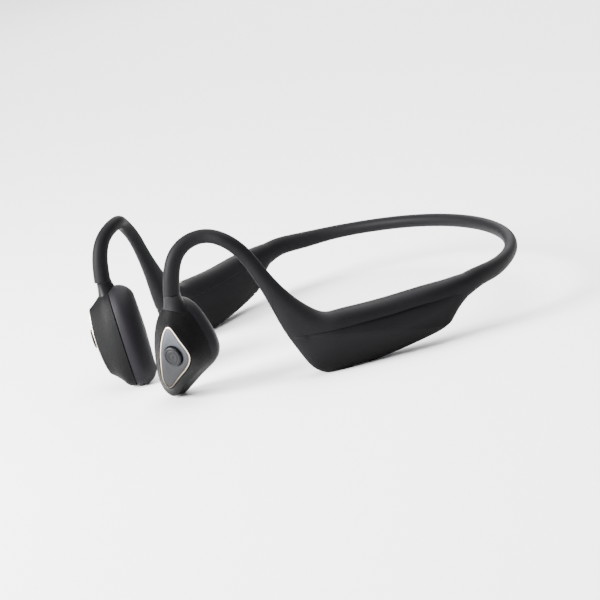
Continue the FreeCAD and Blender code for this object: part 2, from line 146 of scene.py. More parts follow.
# ------------------------------------------------------------------ curves
def cubic(knots, values, at):
    """Natural cubic spline: between two knots the value is the straight blend plus a
    cubic bow, whose strength at each knot makes slope and curvature run on."""
    knots, values = np.asarray(knots, float), np.asarray(values, float)
    count, step = len(knots), np.diff(knots)
    slope = np.diff(values, axis=0) / step[:, None]
    matrix, right = np.eye(count), np.zeros_like(values)
    inner = np.arange(1, count - 1)
    matrix[inner, inner - 1] = step[:-1]
    matrix[inner, inner] = 2 * (step[:-1] + step[1:])
    matrix[inner, inner + 1] = step[1:]
    right[1:-1] = 6 * np.diff(slope, axis=0)
    bow = np.linalg.solve(matrix, right)
    k = np.clip(np.searchsorted(knots, at, "right") - 1, 0, count - 2)
    b = ((at - knots[k]) / step[k])[:, None]
    a = 1 - b
    bend = ((a**3 - a) * bow[k] + (b**3 - b) * bow[k + 1]) * (step[k] ** 2)[:, None] / 6
    return a * values[k] + b * values[k + 1] + bend


def smooth_rows(rows, count):
    """Rows of a table resampled evenly along the path of their first three columns."""
    rows = np.asarray(rows, float)
    gaps = np.linalg.norm(np.diff(rows[:, :3], axis=0), axis=1)
    length = np.concatenate([[0], np.cumsum(gaps)])
    return cubic(length, rows, np.linspace(0, length[-1], count))


def closed_curve(points, count):
    """Smooth closed curve through the points: the spline of the points said three
    times over, of which the middle turn is kept."""
    points = np.asarray(points, float)
    ring = np.vstack([points, points, points, points[:1]])
    gaps = np.sqrt(np.linalg.norm(np.diff(ring, axis=0), axis=1))
    length = np.concatenate([[0], np.cumsum(gaps)])
    start, end = length[len(points)], length[2 * len(points)]
    return cubic(length, ring, np.linspace(start, end, count, endpoint=False))


def round_angles(count):
    """Even angles once round a circle."""
    return np.linspace(0, 2 * math.pi, count, endpoint=False)


def ease(x, low, high):
    """0 below low, 1 above high, and a smooth step between."""
    t = np.clip((np.asarray(x, float) - low) / (high - low), 0, 1)
    return t * t * (3 - 2 * t)


# ------------------------------------------------------------------ meshes
def surface(name, grid, wrap=False):
    """Closed skin over a grid of points in millimetres.  Each row is a ring.  The rows
    close on themselves when wrapped, and otherwise end in a point at each ring's middle."""
    grid = np.asarray(grid, float)
    rows, columns = grid.shape[:2]
    index = np.arange(rows * columns).reshape(rows, columns)
    beside = np.roll(index, -1, axis=1)
    if wrap:
        quads = [index, beside, np.roll(beside, -1, axis=0), np.roll(index, -1, axis=0)]
    else:
        quads = [index[:-1], beside[:-1], beside[1:], index[1:]]
    quads = np.stack(quads, -1).reshape(-1, 4)
    points = grid.reshape(-1, 3)
    triangles = np.zeros((0, 3), int)
    if not wrap:
        poles = np.stack([grid[0].mean(0), grid[-1].mean(0)])
        first, last = len(points), len(points) + 1
        points = np.vstack([points, poles])
        top = np.stack([np.full(columns, first), beside[0], index[0]], -1)
        foot = np.stack([np.full(columns, last), index[-1], beside[-1]], -1)
        triangles = np.vstack([top, foot])
    faces = np.vstack([quads[:, :3], quads[:, [0, 2, 3]], triangles])
    a, b, c = (points[faces[:, k]] for k in range(3))
    if np.einsum("ij,ij->i", a, np.cross(b, c)).sum() < 0:
        quads, triangles = quads[:, ::-1], triangles[:, ::-1]
    return raw_mesh(name, points * MM, quads, triangles)


def raw_mesh(name, points, quads, triangles):
    """Object with its mesh filled by whole arrays."""
    mesh = bpy.data.meshes.new(name)
    corners = np.concatenate([quads.ravel(), triangles.ravel()]).astype(np.int32)
    sizes = np.concatenate([np.full(len(quads), 4), np.full(len(triangles), 3)])
    mesh.vertices.add(len(points))
    mesh.vertices.foreach_set("co", np.ascontiguousarray(points, np.float32).ravel())
    mesh.loops.add(len(corners))
    mesh.loops.foreach_set("vertex_index", corners)
    mesh.polygons.add(len(sizes))
    starts = np.concatenate([[0], np.cumsum(sizes)[:-1]])
    mesh.polygons.foreach_set("loop_start", starts.astype(np.int32))
    mesh.update(calc_edges=True)
    mesh.validate()
    mesh.set_sharp_from_angle(angle=SHARP_ANGLE)
    made = bpy.data.objects.new(name, mesh)
    bpy.context.scene.collection.objects.link(made)
    return made


def mirrored(grid, side):
    """The grid as it is for the left, and mirrored in the middle plane for the right."""
    return grid * np.array([-1.0 if side == "right" else 1.0, 1.0, 1.0])


def cut_out(piece, tools):
    """Takes the tools' volumes out of the piece and deletes the tools."""
    for tool in tools:
        cutter = piece.modifiers.new(tool.name, "BOOLEAN")
        cutter.operation, cutter.solver, cutter.object = "DIFFERENCE", "EXACT", tool
    graph = bpy.context.evaluated_depsgraph_get()
    finished = bpy.data.meshes.new_from_object(piece.evaluated_get(graph))
    piece.modifiers.clear()
    old, piece.data = piece.data, finished
    bpy.data.meshes.remove(old)
    finished.set_sharp_from_angle(angle=SHARP_ANGLE)
    for tool in tools:
        bpy.data.objects.remove(tool)


def settle(piece, body, slot, finish, *replaced):
    """Gives a finished piece its finish and its body, and hides the frame's parts it stands for. The slot
    is not used.
    """
    piece.data.materials.clear()
    piece.data.materials.append(finish)
    if body:
        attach(piece, body)
    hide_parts(*replaced)


# ------------------------------------------------------------------ side member
def station_frames(rows):
    """Middle, outward and height vectors of every row: the height leans to the rear by
    its angle, and the roll turns height and outward about the member's run."""
    heading, lean, roll = (np.radians(rows[:, k]) for k in (3, 4, 8))
    flat = np.zeros_like(heading)
    level = np.stack([np.cos(heading), np.sin(heading), flat], -1)
    rear = np.stack([-np.sin(heading), np.cos(heading), flat], -1)
    up = np.array([0.0, 0.0, 1.0])
    rise = rear * np.sin(lean)[:, None] + up * np.cos(lean)[:, None]
    outward = level * np.cos(roll)[:, None] - rise * np.sin(roll)[:, None]
    height = rise * np.cos(roll)[:, None] + level * np.sin(roll)[:, None]
    return rows[:, :3] + SEAT, outward, height


def ring_points(rows, angle, push=0.0):
    """Superellipse sections: across is the cosine and along the height the sine of the
    angle, each raised to two over the squareness; push moves the flanks outward."""
    middle, outward, height = station_frames(rows)
    power = 2.0 / rows[:, 7:8]
    c, s = np.cos(angle), np.sin(angle)
    u = np.sign(c) * np.abs(c) ** power * rows[:, 6:7] + push * np.sign(c)
    v = np.sign(s) * np.abs(s) ** power * rows[:, 5:6]
    return middle[:, None] + outward[:, None] * u[..., None] + height[:, None] * v[..., None]


def angle_at_height(rows, level):
    """Angle on the outer flank at which a section crosses a height above the ground,
    found in three steps because a leaning section reaches it at another y."""
    middle, outward, height = station_frames(rows)
    v = np.zeros(len(rows))
    for _ in range(3):
        goal = level(middle[:, 1] + v * height[:, 1])
        v = (goal - middle[:, 2] - rows[:, 6] * outward[:, 2]) / np.maximum(height[:, 2], 0.3)
    share = np.clip(v / rows[:, 5], -0.93, 0.93)
    return np.arcsin(np.sign(share) * np.abs(share) ** (rows[:, 7] / 2))


def side_grid(columns, rings, rail_depth, ridge_height):
    """Hook and housing as one skin.  Rings run from the top over the outer flank.  The
    rail's lower edge and the ridge below it each fall on a column of the grid, so the
    step and the wedge between them stay crisp.  Between two marks the angle and the push
    change evenly, and the housing's underside is flat."""
    rows = smooth_rows(HOOK_STATIONS + HOUSING_STATIONS, rings)
    y = rows[:, 1]
    shown = ease(y, -35.5, -30.5)
    rail = angle_at_height(rows, lambda at: np.interp(at, RAIL_Y, RAIL_Z))
    ridge = angle_at_height(rows, lambda at: np.interp(at, RIDGE_Y, RIDGE_Z))
    rail = rail * shown + math.radians(25) * (1 - shown)
    ridge = np.minimum(ridge * shown - math.radians(25) * (1 - shown), rail - math.radians(7))
    step_in = RAIL_STEP * ease(y, -35, -32) * (1 - ease(y, 15, 19))
    depth = step_in + rail_depth * ease(y, -29, 2) * (1 - ease(y, 12, 19))
    proud = ridge_height * ease(y, -28, 4) * (1 - ease(y, 13, 19))
    panel = PANEL_STEP * ease(y, -27, -23) * (1 - ease(y, 9, 13))
    quarter, none = math.pi / 2, np.zeros(rings)
    inner = np.full(rings, -math.pi - math.radians(12))
    marks = [  # share of the ring; angle; push
        (0.00, none + quarter, none),
        (0.17, rail, none),
        (0.178, rail - math.radians(1.5), -depth),
        (0.34, ridge, proud),
        (0.50, none - quarter, none),
        (0.545, none - 1.30 * quarter, -panel),
        (0.69, inner, -panel),
        (0.698, inner - math.radians(1.2), none),
        (1.00, none - 3 * quarter, none),
    ]
    knots = np.array([m[0] for m in marks])
    angles, pushes = (np.stack([m[k] for m in marks], -1) for k in (1, 2))
    even = np.linspace(0, 1, columns, endpoint=False)
    place = np.unique(np.concatenate([even, knots[:-1]]))
    k = np.clip(np.searchsorted(knots, place, "right") - 1, 0, len(knots) - 2)
    share = (place - knots[k]) / (knots[k + 1] - knots[k])
    angle = angles[:, k] + (angles[:, k + 1] - angles[:, k]) * share
    push = pushes[:, k] + (pushes[:, k + 1] - pushes[:, k]) * share
    grid = ring_points(rows, angle, push)
    grid[..., 2] = np.maximum(grid[..., 2], UNDERSIDE + SEAT[2])
    return grid


def soft_ends(grid, lips, tail):
    """Adds two rings past each end: they run on along the member by the tail and are
    drawn in by that end's share, so that a joint reads as a dark line."""
    ends = []
    for edge, inner, share in ((0, 4, lips[0]), (-1, -5, lips[1])):
        middle = grid[edge].mean(0)
        along = middle - grid[inner].mean(0)
        along /= np.linalg.norm(along)
        inward = (middle - grid[edge]) * share
        shoulder = grid[edge] + inward * 0.3 + along * tail / 2
        ends.append([shoulder, grid[edge] + inward + along * tail])
    return np.concatenate([ends[0][::-1], grid, ends[1]])


def band_rows(count):
    """Neckband rows from the left housing round the back to the right one: half an
    ellipse that rises a little at the back and thickens towards the housings."""
    angle = np.radians(np.array(BAND_ANGLES + (0,)))
    swell = np.sin(angle) ** 12
    heading = np.degrees(np.arctan2(NECK_HALF_WIDTH * np.cos(angle), NECK_DEPTH * np.sin(angle)))
    same = np.ones_like(angle)
    left = np.stack([
        NECK_HALF_WIDTH * np.sin(angle), NECK_CENTRE_Y + NECK_DEPTH * np.cos(angle),
        NECK_HEIGHT + NECK_RISE * np.cos(angle) ** 2, heading, 0 * same,
        2.2 + 1.1 * swell, 2.1 + 0.7 * swell, 2.1 * same, 0 * same], -1)
    left = np.vstack([HOUSING_STATIONS[-1], left])
    right = left[:-1][::-1] * np.array([-1, 1, 1, -1, -1, 1, 1, 1, 1.0])
    right[:, 3] += 180
    return smooth_rows(np.vstack([left, right]), count)


def strand_grid(rows, radius, offset, columns=16):
    """Round tube that follows the rows, moved along their height by an offset."""
    middle, outward, height = station_frames(rows)
    angle = round_angles(columns)[:, None]
    circle = outward[:, None] * np.cos(angle) + height[:, None] * np.sin(angle)
    return (middle + height * offset)[:, None] + circle * radius


def plan_at(y):
    """Middle x and heading of the left housing at y."""
    table = np.array(HOUSING_STATIONS)
    return np.interp(y, table[:, 1], table[:, 0]), np.interp(y, table[:, 1], table[:, 3])


def in_housing(grid, y, side):
    """Turns a shape drawn about the Z axis, x outward and y rearward, into its housing."""
    x, heading = plan_at(y)
    c, s = math.cos(math.radians(heading)), math.sin(math.radians(heading))
    turn = np.array([[c, -s, 0], [s, c, 0], [0, 0, 1]])
    moved = (grid + np.array([CONTROL_INSET, 0, 0])) @ turn.T + np.array([x, y, 0]) + SEAT
    return mirrored(moved, side)


def stadium_ring(length, width, count=48):
    """Outline with round ends, long in y: a circle whose halves are drawn apart."""
    angle = round_angles(count) + math.pi / count
    x, y = np.cos(angle) * width / 2, np.sin(angle) * width / 2
    return np.stack([x, y + np.sign(y) * (length - width) / 2], -1)


def stadium_stack(length, width, levels):
    """Stack of stadium outlines, one for each (height, inset)."""
    rings = []
    for z, inset in levels:
        ring = stadium_ring(length - 2 * inset, width - 2 * inset)
        rings.append(np.column_stack([ring, np.full(len(ring), z)]))
    return np.stack(rings)


def slab(width, length, low, high):
    """Block of four corners, wide in x, between two heights."""
    x, y = np.array([-1, 1, 1, -1]) * width / 2, np.array([-1, -1, 1, 1]) * length / 2
    return np.stack([np.stack([x, y, np.full(4, z)], -1) for z in (low, high)])


def pocket(name, size, high, y, side):
    """Cutter for a piece of this length and width, with clearance all round."""
    length, width = (measure + 2 * CLEAR for measure in size)
    return surface(name, in_housing(stadium_stack(length, width, [(CUT_START, 0), (high, 0)]), y, side))


# ------------------------------------------------------------------ pods
def pod_axes():
    """Rows across, up and out: out points along the azimuth and dips by the droop."""
    azimuth, droop = math.radians(POD_AZIMUTH), math.radians(POD_DROOP)
    level = math.cos(droop)
    out = np.array([math.cos(azimuth) * level, math.sin(azimuth) * level, -math.sin(droop)])
    across = np.array([-math.sin(azimuth), math.cos(azimuth), 0.0])
    return np.stack([across, np.cross(out, across), out])


def bowed(grid):
    """Draws the tips of the pod's front back, by the square of the height; the bow
    fades out towards the parting seam."""
    drawn = grid.copy()
    fade = ease(grid[..., 2], PARTING + 1.5, -0.5)
    drawn[..., 2] -= POD_BOW * (grid[..., 1] - BOW_MIDDLE) ** 2 * fade
    return drawn


def in_pod(grid, side):
    """From the pod's own frame into the object's."""
    return mirrored(bowed(grid) @ pod_axes() + POD_CENTRE + SEAT, side)


def stack_outlines(levels, count=240):
    """Rings between the plate's outline and the seam's.  Each level is depth, share of
    the way to the seam's outline, and how far the ring is then moved along its normal."""
    plate, seam = closed_curve(PLATE_OUTLINE, count), closed_curve(SEAM_OUTLINE, count)
    depth, share, grow = (np.array(levels, float)[:, k][:, None] for k in range(3))
    ring = plate[None] + share[..., None] * (seam - plate)[None]
    along = np.roll(ring, -1, axis=1) - np.roll(ring, 1, axis=1)
    along /= np.linalg.norm(along, axis=2, keepdims=True)
    normal = np.stack([-along[..., 1], along[..., 0]], -1)
    flat = ring + normal * grow[..., None]
    return np.concatenate([flat, np.broadcast_to(depth[..., None], flat.shape[:2] + (1,))], -1)


def smooth_levels(levels, count):
    """More levels by a spline through the given ones, along their profile."""
    table = np.array(levels, float)
    gaps = np.linalg.norm(np.diff(table * np.array([1.0, 6.0, 1.0]), axis=0), axis=1)
    length = np.concatenate([[0], np.cumsum(gaps)])
    return cubic(length, table, np.linspace(0, length[-1], count))


def pod_body_grid():
    """Shell: a small rim round the plate, a crowned flank and a drawn-in back edge."""
    flank = smooth_levels([
        (-0.12, 0.02, 0.80), (-0.9, 0.15, 0.68), (-2.5, 0.42, 0.42), (-5.2, 0.77, 0.20),
        (-8.4, 1.0, 0.0)], 60)
    rim = [(-0.75, 0.0, 0.50), (-0.06, 0.0, 0.52), (0.0, 0.0, 0.60), (-0.02, 0.0, 0.70)]
    back = [(-8.6, 1.0, -0.08), (PARTING, 1.0, -0.3)]
    return stack_outlines(np.vstack([rim, flank, back]))


def pad_grid():
    """Pad: the seam's outline swells a little behind the parting and then rounds in."""
    flank = smooth_levels([
        (-9.0, 1.0, -0.02), (-11.2, 1.0, 0.5), (-13.6, 1.0, -0.1), (-15.3, 1.0, -1.5),
        (-16.2, 1.0, -3.0)], 44)
    front = [(PARTING, 1.0, -0.4), (-8.8, 1.0, -0.12)]
    back = [(-16.36, 1.0, -3.7), (PAD_BACK, 1.0, -4.4)]
    return stack_outlines(np.vstack([front, flank, back]))


def collar_grid():
    """Flared sleeve: rings whose radius widens with a power of the drop.  Its foot runs
    inside shell and pad, less deep behind, and its first rings are drawn in for a seam."""
    angle = round_angles(96)
    foot = 6.6 - 1.8 * np.maximum(-np.sin(angle), 0)
    wide = 4.1 + 0.55 * np.cos(angle) ** 2
    share = np.concatenate([[0.0, 0.02, 0.04, 0.055], np.linspace(0.08, 1.0, 20)])[:, None]
    lip = np.zeros_like(share)
    lip[:3, 0] = 0.32, 0.32, 0.10
    radius = COLLAR_RADIUS + (wide - COLLAR_RADIUS) * share ** 1.7 - lip
    across = 0.45 - 0.7 * share + radius * np.cos(angle)
    return np.stack([across, COLLAR_TOP - share * foot, COLLAR_DEPTH + radius * np.sin(angle)], -1)


def plate_grid():
    """Thin plate: rings from its outline to the button's hole, over the top and back
    under it, slightly crowned."""
    outline = closed_curve(PLATE_OUTLINE, 240)
    hole_radius = BUTTON_RADIUS + BUTTON_GAP
    from_hole = outline - np.array(BUTTON_CENTRE)
    angle = np.arctan2(from_hole[:, 1], from_hole[:, 0])
    hole = np.array(BUTTON_CENTRE) + hole_radius * np.stack([np.cos(angle), np.sin(angle)], -1)
    share = np.concatenate([[0.0, 0.012, 0.03], np.linspace(0.08, 0.94, 14), [0.985, 1.0]])
    top = PLATE_CROWN * np.sin(share * math.pi)
    top[[0, 1, -1]] -= 0.12, 0.03, 0.06
    flat = outline[None] + share[:, None, None] * (hole - outline)[None]
    upper = np.concatenate([flat, np.broadcast_to(top[:, None, None], flat.shape[:2] + (1,))], -1)
    lower = upper[[-1, 0]].copy()
    lower[..., 2] = PLATE_FOOT
    return np.concatenate([upper, lower])


def trim_grid():
    """Fine raised line round the plate with a rounded top."""
    return stack_outlines([
        (PLATE_FOOT, 0.0, 0.08), (0.02, 0.0, 0.08), (0.09, 0.0, 0.13), (0.12, 0.0, 0.25),
        (0.09, 0.0, 0.37), (0.02, 0.0, 0.42), (PLATE_FOOT, 0.0, 0.42)])


def lathe(profile, centre, count=96):
    """Rings of a profile of (radius, height) turned about the pod's outward axis."""
    radius, height = (np.array(profile, float)[:, k][:, None] for k in (0, 1))
    angle = round_angles(count)
    across, up = centre[0] + radius * np.cos(angle), centre[1] + radius * np.sin(angle)
    return np.stack([across, up, height + 0 * angle], -1)


def cap_grid():
    """Round cap with a soft shoulder, a raised ring and a shallow dish."""
    turn = np.linspace(math.pi / 2, 0.15, 8)
    sides = [(BUTTON_RADIUS - 0.3, -0.3), (BUTTON_RADIUS, -0.2)]
    shoulder = np.stack([BUTTON_RADIUS - 0.45 + 0.45 * np.sin(turn), 0.55 + 0.45 * np.cos(turn)], -1)
    ring = [(2.42, 0.99), (2.30, 0.97), (2.22, 0.86), (2.10, 0.84), (1.98, 0.86), (1.90, 0.93), (1.7, 0.93)]
    dish = [(1.2, 0.85), (0.8, 0.80), (0.55, 0.79), (0.50, 0.83), (0.42, 0.88), (0.2, 0.90), (0.02, 0.90)]
    return lathe(np.vstack([sides, shoulder, ring, dish]), BUTTON_CENTRE)


# ------------------------------------------------------------------ finishes
class Value:
    """One socket.  Arithmetic on it adds Math nodes to its finish."""

    def __init__(self, finish, socket):
        self.finish, self.socket = finish, socket

    def __add__(self, other):
        return self.finish.math("ADD", self, other)

    def __mul__(self, other):
        return self.finish.math("MULTIPLY", self, other)

    __radd__ = __add__
    __rmul__ = __mul__


class Finish:
    """A material with one Principled shader, built by small steps."""

    def __init__(self, name, **constants):
        self.material = bpy.data.materials.new(name)
        self.material.use_nodes = True
        self.tree = self.material.node_tree
        self.tree.nodes.clear()
        output = self.tree.nodes.new("ShaderNodeOutputMaterial")
        self.shader = self.tree.nodes.new("ShaderNodeBsdfPrincipled")
        self.tree.links.new(self.shader.outputs[0], output.inputs[0])
        self.place = Value(self, self.node("ShaderNodeTexCoord", {}, {}).outputs["Object"])
        for socket, value in constants.items():
            title = socket.replace("_", " ").title().replace("Ior", "IOR")
            self.shader.inputs[title].default_value = value

    def feed(self, socket, value):
        """Links a Value to the socket, or sets a constant on it."""
        if isinstance(value, Value):
            self.tree.links.new(value.socket, socket)
        else:
            socket.default_value = value

    def node(self, kind, settings, inputs):
        """A node of a kind: its settings first, then the values or links of its sockets."""
        made = self.tree.nodes.new(kind)
        for key, value in settings.items():
            setattr(made, key, value)
        for key, value in inputs.items():
            self.feed(made.inputs[key], value)
        return made

    def math(self, operation, first, second):
        made = self.node("ShaderNodeMath", {"operation": operation}, {0: first, 1: second})
        return Value(self, made.outputs[0])

    def noise(self, size_mm, detail=3.0, roughness=0.55):
        """Noise whose lumps are about this many millimetres."""
        made = self.node("ShaderNodeTexNoise", {}, {
            "Vector": self.place, "Scale": 1000.0 / size_mm, "Detail": detail, "Roughness": roughness})
        return Value(self, made.outputs["Fac"])

    def cells(self, size_mm):
        """Distance to the nearest cell edge, in cells of this many millimetres."""
        made = self.node("ShaderNodeTexVoronoi", {"feature": "DISTANCE_TO_EDGE"}, {
            "Vector": self.place, "Scale": 1000.0 / size_mm})
        return Value(self, made.outputs["Distance"])

    def clamp(self, value, low, high, to_low=0.0, to_high=1.0):
        """The value's span from low to high mapped on to another span, and held there."""
        made = self.node("ShaderNodeMapRange", {}, {
            "Value": value, "From Min": low, "From Max": high, "To Min": to_low, "To Max": to_high})
        return Value(self, made.outputs[0])

    def rise(self, low_mm, high_mm):
        """0 below one height above the ground, 1 above another, and even between."""
        made = self.node("ShaderNodeSeparateXYZ", {}, {0: self.place})
        return self.clamp(Value(self, made.outputs["Z"]), low_mm * MM, high_mm * MM)

    def mix(self, factor, first, second):
        """Blend of two colours."""
        made = self.node("ShaderNodeMix", {"data_type": "RGBA"}, {0: factor, 6: first, 7: second})
        return Value(self, made.outputs[2])

    def set(self, socket, value):
        """Feeds one of the shader's own sockets."""
        self.feed(self.shader.inputs[socket], value)

    def gloss(self, value, low, high, smooth, rough):
        """Roughness that follows a value from smooth to rough."""
        self.set("Roughness", self.clamp(value, low, high, smooth, rough))

    def bump(self, height, depth_mm):
        """Relief of this depth where the height goes from 0 to 1."""
        made = self.node("ShaderNodeBump", {}, {
            "Height": height, "Distance": depth_mm * MM, "Strength": 1.0})
        self.set("Normal", Value(self, made.outputs[0]))


def shade(colour, factor):
    """Opaque colour scaled by a factor."""
    return tuple(min(c * factor, 1.0) for c in colour[:3]) + (1.0,)


def sparked(finish, colour, rough, grain_mm, depth_mm, spread):
    """Sets handled patches in the gloss and a fine sparked grain, and gives back the
    faintly mottled colour."""
    broad, fine = finish.noise(14.0, 2.0), finish.noise(grain_mm, 4.0, 0.6)
    mottled = finish.clamp(broad * 0.7 + fine * 0.3, 0.35, 0.65)
    finish.gloss(broad * 0.6 + fine * 0.4, 0.3, 0.7, rough - 0.06, rough + 0.06)
    finish.bump(fine, depth_mm)
    return finish.mix(mottled, shade(colour, 1 - spread), shade(colour, 1 + spread))


def moulded(name, colour, rough, grain_mm, depth_mm, spread=0.12, **constants):
    """Moulded plastic or rubber of one colour."""
    finish = Finish(name, **constants)
    finish.set("Base Color", sparked(finish, colour, rough, grain_mm, depth_mm, spread))
    return finish.material


def elastomer_skin(name, colour):
    """Soft-touch rubber with painted shade: its colour darkens towards the underside of the housings."""
    finish = Finish(name, specular_ior_level=0.07)
    mottled = sparked(finish, colour, 0.58, 0.35, 0.012, 0.12)
    # painted shade: below 0.5 mm the colour is 0.12 of itself, rising evenly to the full colour at 9 mm
    finish.set("Base Color", finish.mix(finish.rise(0.5, 9.0), shade(colour, 0.12), mottled))
    return finish.material


def leather_grain(name, colour, rough):
    """Pebbled grain: rounded cells, with painted shade that darkens the creases between them."""
    finish = Finish(name, specular_ior_level=0.06)
    wobble = finish.noise(1.6, 3.0)
    pebble = finish.clamp(finish.cells(0.62) + finish.cells(1.3) * 0.5, 0.0, 0.42)
    broad = finish.noise(9.0, 2.0)
    # painted shade: darker in the creases between the cells, lighter on their tops
    finish.set("Base Color", finish.mix(pebble, shade(colour, 0.72), shade(colour, 1.12)))
    finish.gloss(pebble * 0.6 + broad * 0.4, 0.2, 0.9, rough + 0.08, rough - 0.05)
    finish.bump(pebble * 0.75 + wobble * 0.25, 0.035)
    return finish.material


def metal(name, colour, rough, grain_mm=0.5, metallic=1.0, depth_mm=0.004):
    """Satin metal with a fine grain and slightly uneven gloss."""
    finish = Finish(name, metallic=metallic)
    fine, broad = finish.noise(grain_mm, 4.0, 0.65), finish.noise(5.0, 2.0)
    patches = finish.clamp(broad, 0.3, 0.7)
    finish.set("Base Color", finish.mix(patches, shade(colour, 0.93), shade(colour, 1.07)))
    finish.gloss(fine * 0.5 + broad * 0.5, 0.3, 0.7, rough - 0.05, rough + 0.06)
    finish.bump(fine, depth_mm)
    return finish.material


def metal_with_painted_shade(name, colour, rough, low_mm, high_mm, dim, metallic):
    """Satin metal with painted shade that dims it towards the ground, and a fine sparkle in its grain."""
    finish = Finish(name, metallic=metallic)
    spark = finish.noise(0.22, 4.0, 0.7)
    # painted shade: the colour falls to dim times itself at low_mm and is full at high_mm
    painted_shade_tint = finish.mix(finish.rise(low_mm, high_mm), shade(colour, dim), shade(colour, 1.0))
    bright = finish.clamp(spark, 0.55, 0.75, 0.0, 0.35)
    finish.set("Base Color", finish.mix(bright, painted_shade_tint, shade(colour, 1.9)))
    finish.gloss(spark, 0.3, 0.7, rough - 0.06, rough + 0.06)
    finish.bump(spark, 0.006)
    return finish.material


def wound_copper(name):
    """Enamelled wire: close turns, drawn as fine slanting bands of painted highlight and painted shade."""
    finish = Finish(name, metallic=0.9, coat_weight=0.4)
    bands = finish.node("ShaderNodeTexWave", {"bands_direction": "DIAGONAL"}, {
        "Vector": finish.place, "Scale": 900.0, "Distortion": 0.4})
    band = Value(finish, bands.outputs["Fac"])
    # painted highlight on each turn and painted shade between the turns
    finish.set("Base Color", finish.mix(band, (0.30, 0.10, 0.04, 1), (0.62, 0.27, 0.12, 1)))
    finish.gloss(band, 0, 1, 0.42, 0.28)
    finish.bump(band, 0.03)
    return finish.material


def solder_mask(name):
    """Green board: mask over faint copper tracks."""
    finish = Finish(name, coat_weight=0.3)
    tracks = finish.clamp(finish.cells(1.1), 0.03, 0.05)
    finish.set("Base Color", finish.mix(tracks, (0.03, 0.16, 0.06, 1), (0.008, 0.06, 0.03, 1)))
    finish.gloss(finish.noise(2.0), 0.3, 0.7, 0.3, 0.42)
    finish.bump(tracks, 0.02)
    return finish.material


# ------------------------------------------------------------------ settings
def colour_property(name, description, default):
    """Colour swatch for one finish."""
    return bpy.props.FloatVectorProperty(
        name=name, description=description, subtype="COLOR", size=3, min=0, max=1, default=default)


class HeadsetColours(bpy.types.PropertyGroup):
    """Colours of the visible materials."""

    elastomer: colour_property("Elastomer", "Skin of hooks, housings and band", (0.0044, 0.0043, 0.0052))
    shell: colour_property("Pod shell", "Grained shell of the pods", (0.0022, 0.0022, 0.0025))
    collar: colour_property("Collar", "Sleeve between pod and hook", (0.0030, 0.0030, 0.0035))
    pad: colour_property("Ear pad", "Silicone that rests on the cheekbone", (0.0060, 0.0053, 0.0070))
    plate: colour_property("Accent plate", "Kite-shaped plate round the button", (0.034, 0.037, 0.045))
    trim: colour_property("Trim line", "Fine metal line round the plate", (0.78, 0.64, 0.50))
    cap: colour_property("Button cap", "Round button in the plate", (0.0048, 0.0051, 0.0064))


class HeadsetSizes(bpy.types.PropertyGroup):
    """Relief of the housings and fineness of their mesh."""

    rail_depth: bpy.props.FloatProperty(
        name="Rail step", description="Depth of the wedge under the housing's rail",
        unit="LENGTH", default=0.55 * MM, min=0.0, max=1.4 * MM)
    ridge_height: bpy.props.FloatProperty(
        name="Ridge", description="How far the ridge below the wedge stands out",
        unit="LENGTH", default=1.45 * MM, min=0.0, max=1.6 * MM)
    rings: bpy.props.IntProperty(
        name="Rings", description="Rings along one hook and housing", default=400, min=60, max=600)
    columns: bpy.props.IntProperty(
        name="Columns", description="Points round one ring of the housing", default=150, min=32, max=240)


class HEADSET_OT_sides(bpy.types.Operator):
    """Make the skin of both ear hooks and rear housings, with its pockets."""

    bl_idname = "headset.sides"
    bl_label = "Hooks and housings"

    def execute(self, context):
        sizes, colours = context.scene.headset_sizes, context.scene.headset_colours
        finish = elastomer_skin("soft_touch_elastomer", colours.elastomer)
        grid = side_grid(sizes.columns, sizes.rings, sizes.rail_depth / MM, sizes.ridge_height / MM)
        grid = soft_ends(grid, (HOOK_LIP, BAND_LIP), SIDE_TAIL)
        for side in SIDES:
            skin = surface("side_skin_" + side, mirrored(grid, side))
            cut_out(skin, self.left_cutters() if side == "left" else self.right_cutters())
            replaced = ("ear_hook_", "housing_outer_cover_", "housing_inner_cover_")
            settle(skin, side + "_side", "elastomer", finish, *(name + side for name in replaced))
        return {"FINISHED"}

    def left_cutters(self):
        """Rooms of the volume keys, and the finger notch between them."""
        rooms = [pocket("room_" + node, KEY_SIZE, KEY_ROOM_TOP, y, "left") for node, _, y in KEY_PLACES]
        notch = slab(NOTCH_WIDTH, NOTCH_LENGTH, CUT_START, UNDERSIDE + NOTCH_RISE)
        return rooms + [surface("finger_notch", in_housing(notch, NOTCH_Y, "left"))]

    def right_cutters(self):
        """Rooms of the power slider over its travel, and of the charging flap."""
        length, width = KNOB_SIZE
        slider = pocket("room_slider", (length + SLIDE_TRAVEL, width), KNOB_ROOM_TOP, SWITCH_Y, "right")
        return [slider, pocket("room_flap", FLAP_SIZE, FLAP_ROOM_TOP, FLAP_Y, "right")]


class HEADSET_OT_neckband(bpy.types.Operator):
    """Make the neckband's skin, wire and lead."""

    bl_idname = "headset.neckband"
    bl_label = "Neckband"

    def execute(self, context):
        rows = band_rows(BAND_RINGS)
        angle = np.broadcast_to(round_angles(BAND_COLUMNS), (BAND_RINGS, BAND_COLUMNS))
        sleeve = soft_ends(ring_points(rows, angle), (BAND_LIP, BAND_LIP), BAND_TAIL)
        pieces = (
            ("neckband_sleeve", sleeve, "elastomer", "neckband_skin",
             bpy.data.materials["soft_touch_elastomer"]),
            ("neckband_core", strand_grid(rows, *BAND_WIRE), "titanium", "neckband_wire",
             metal("drawn_titanium", (0.42, 0.41, 0.39), 0.3)),
            ("neckband_cable", strand_grid(rows, *BAND_LEAD), "lead_jacket", "neckband_lead",
             moulded("lead_jacket", (0.02, 0.02, 0.02), 0.5, 0.6, 0.01)),
        )
        for name, grid, slot, node, finish in pieces:
            piece = surface(name, grid)
            settle(piece, None, slot, finish, node)
            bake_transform(piece)
        return {"FINISHED"}


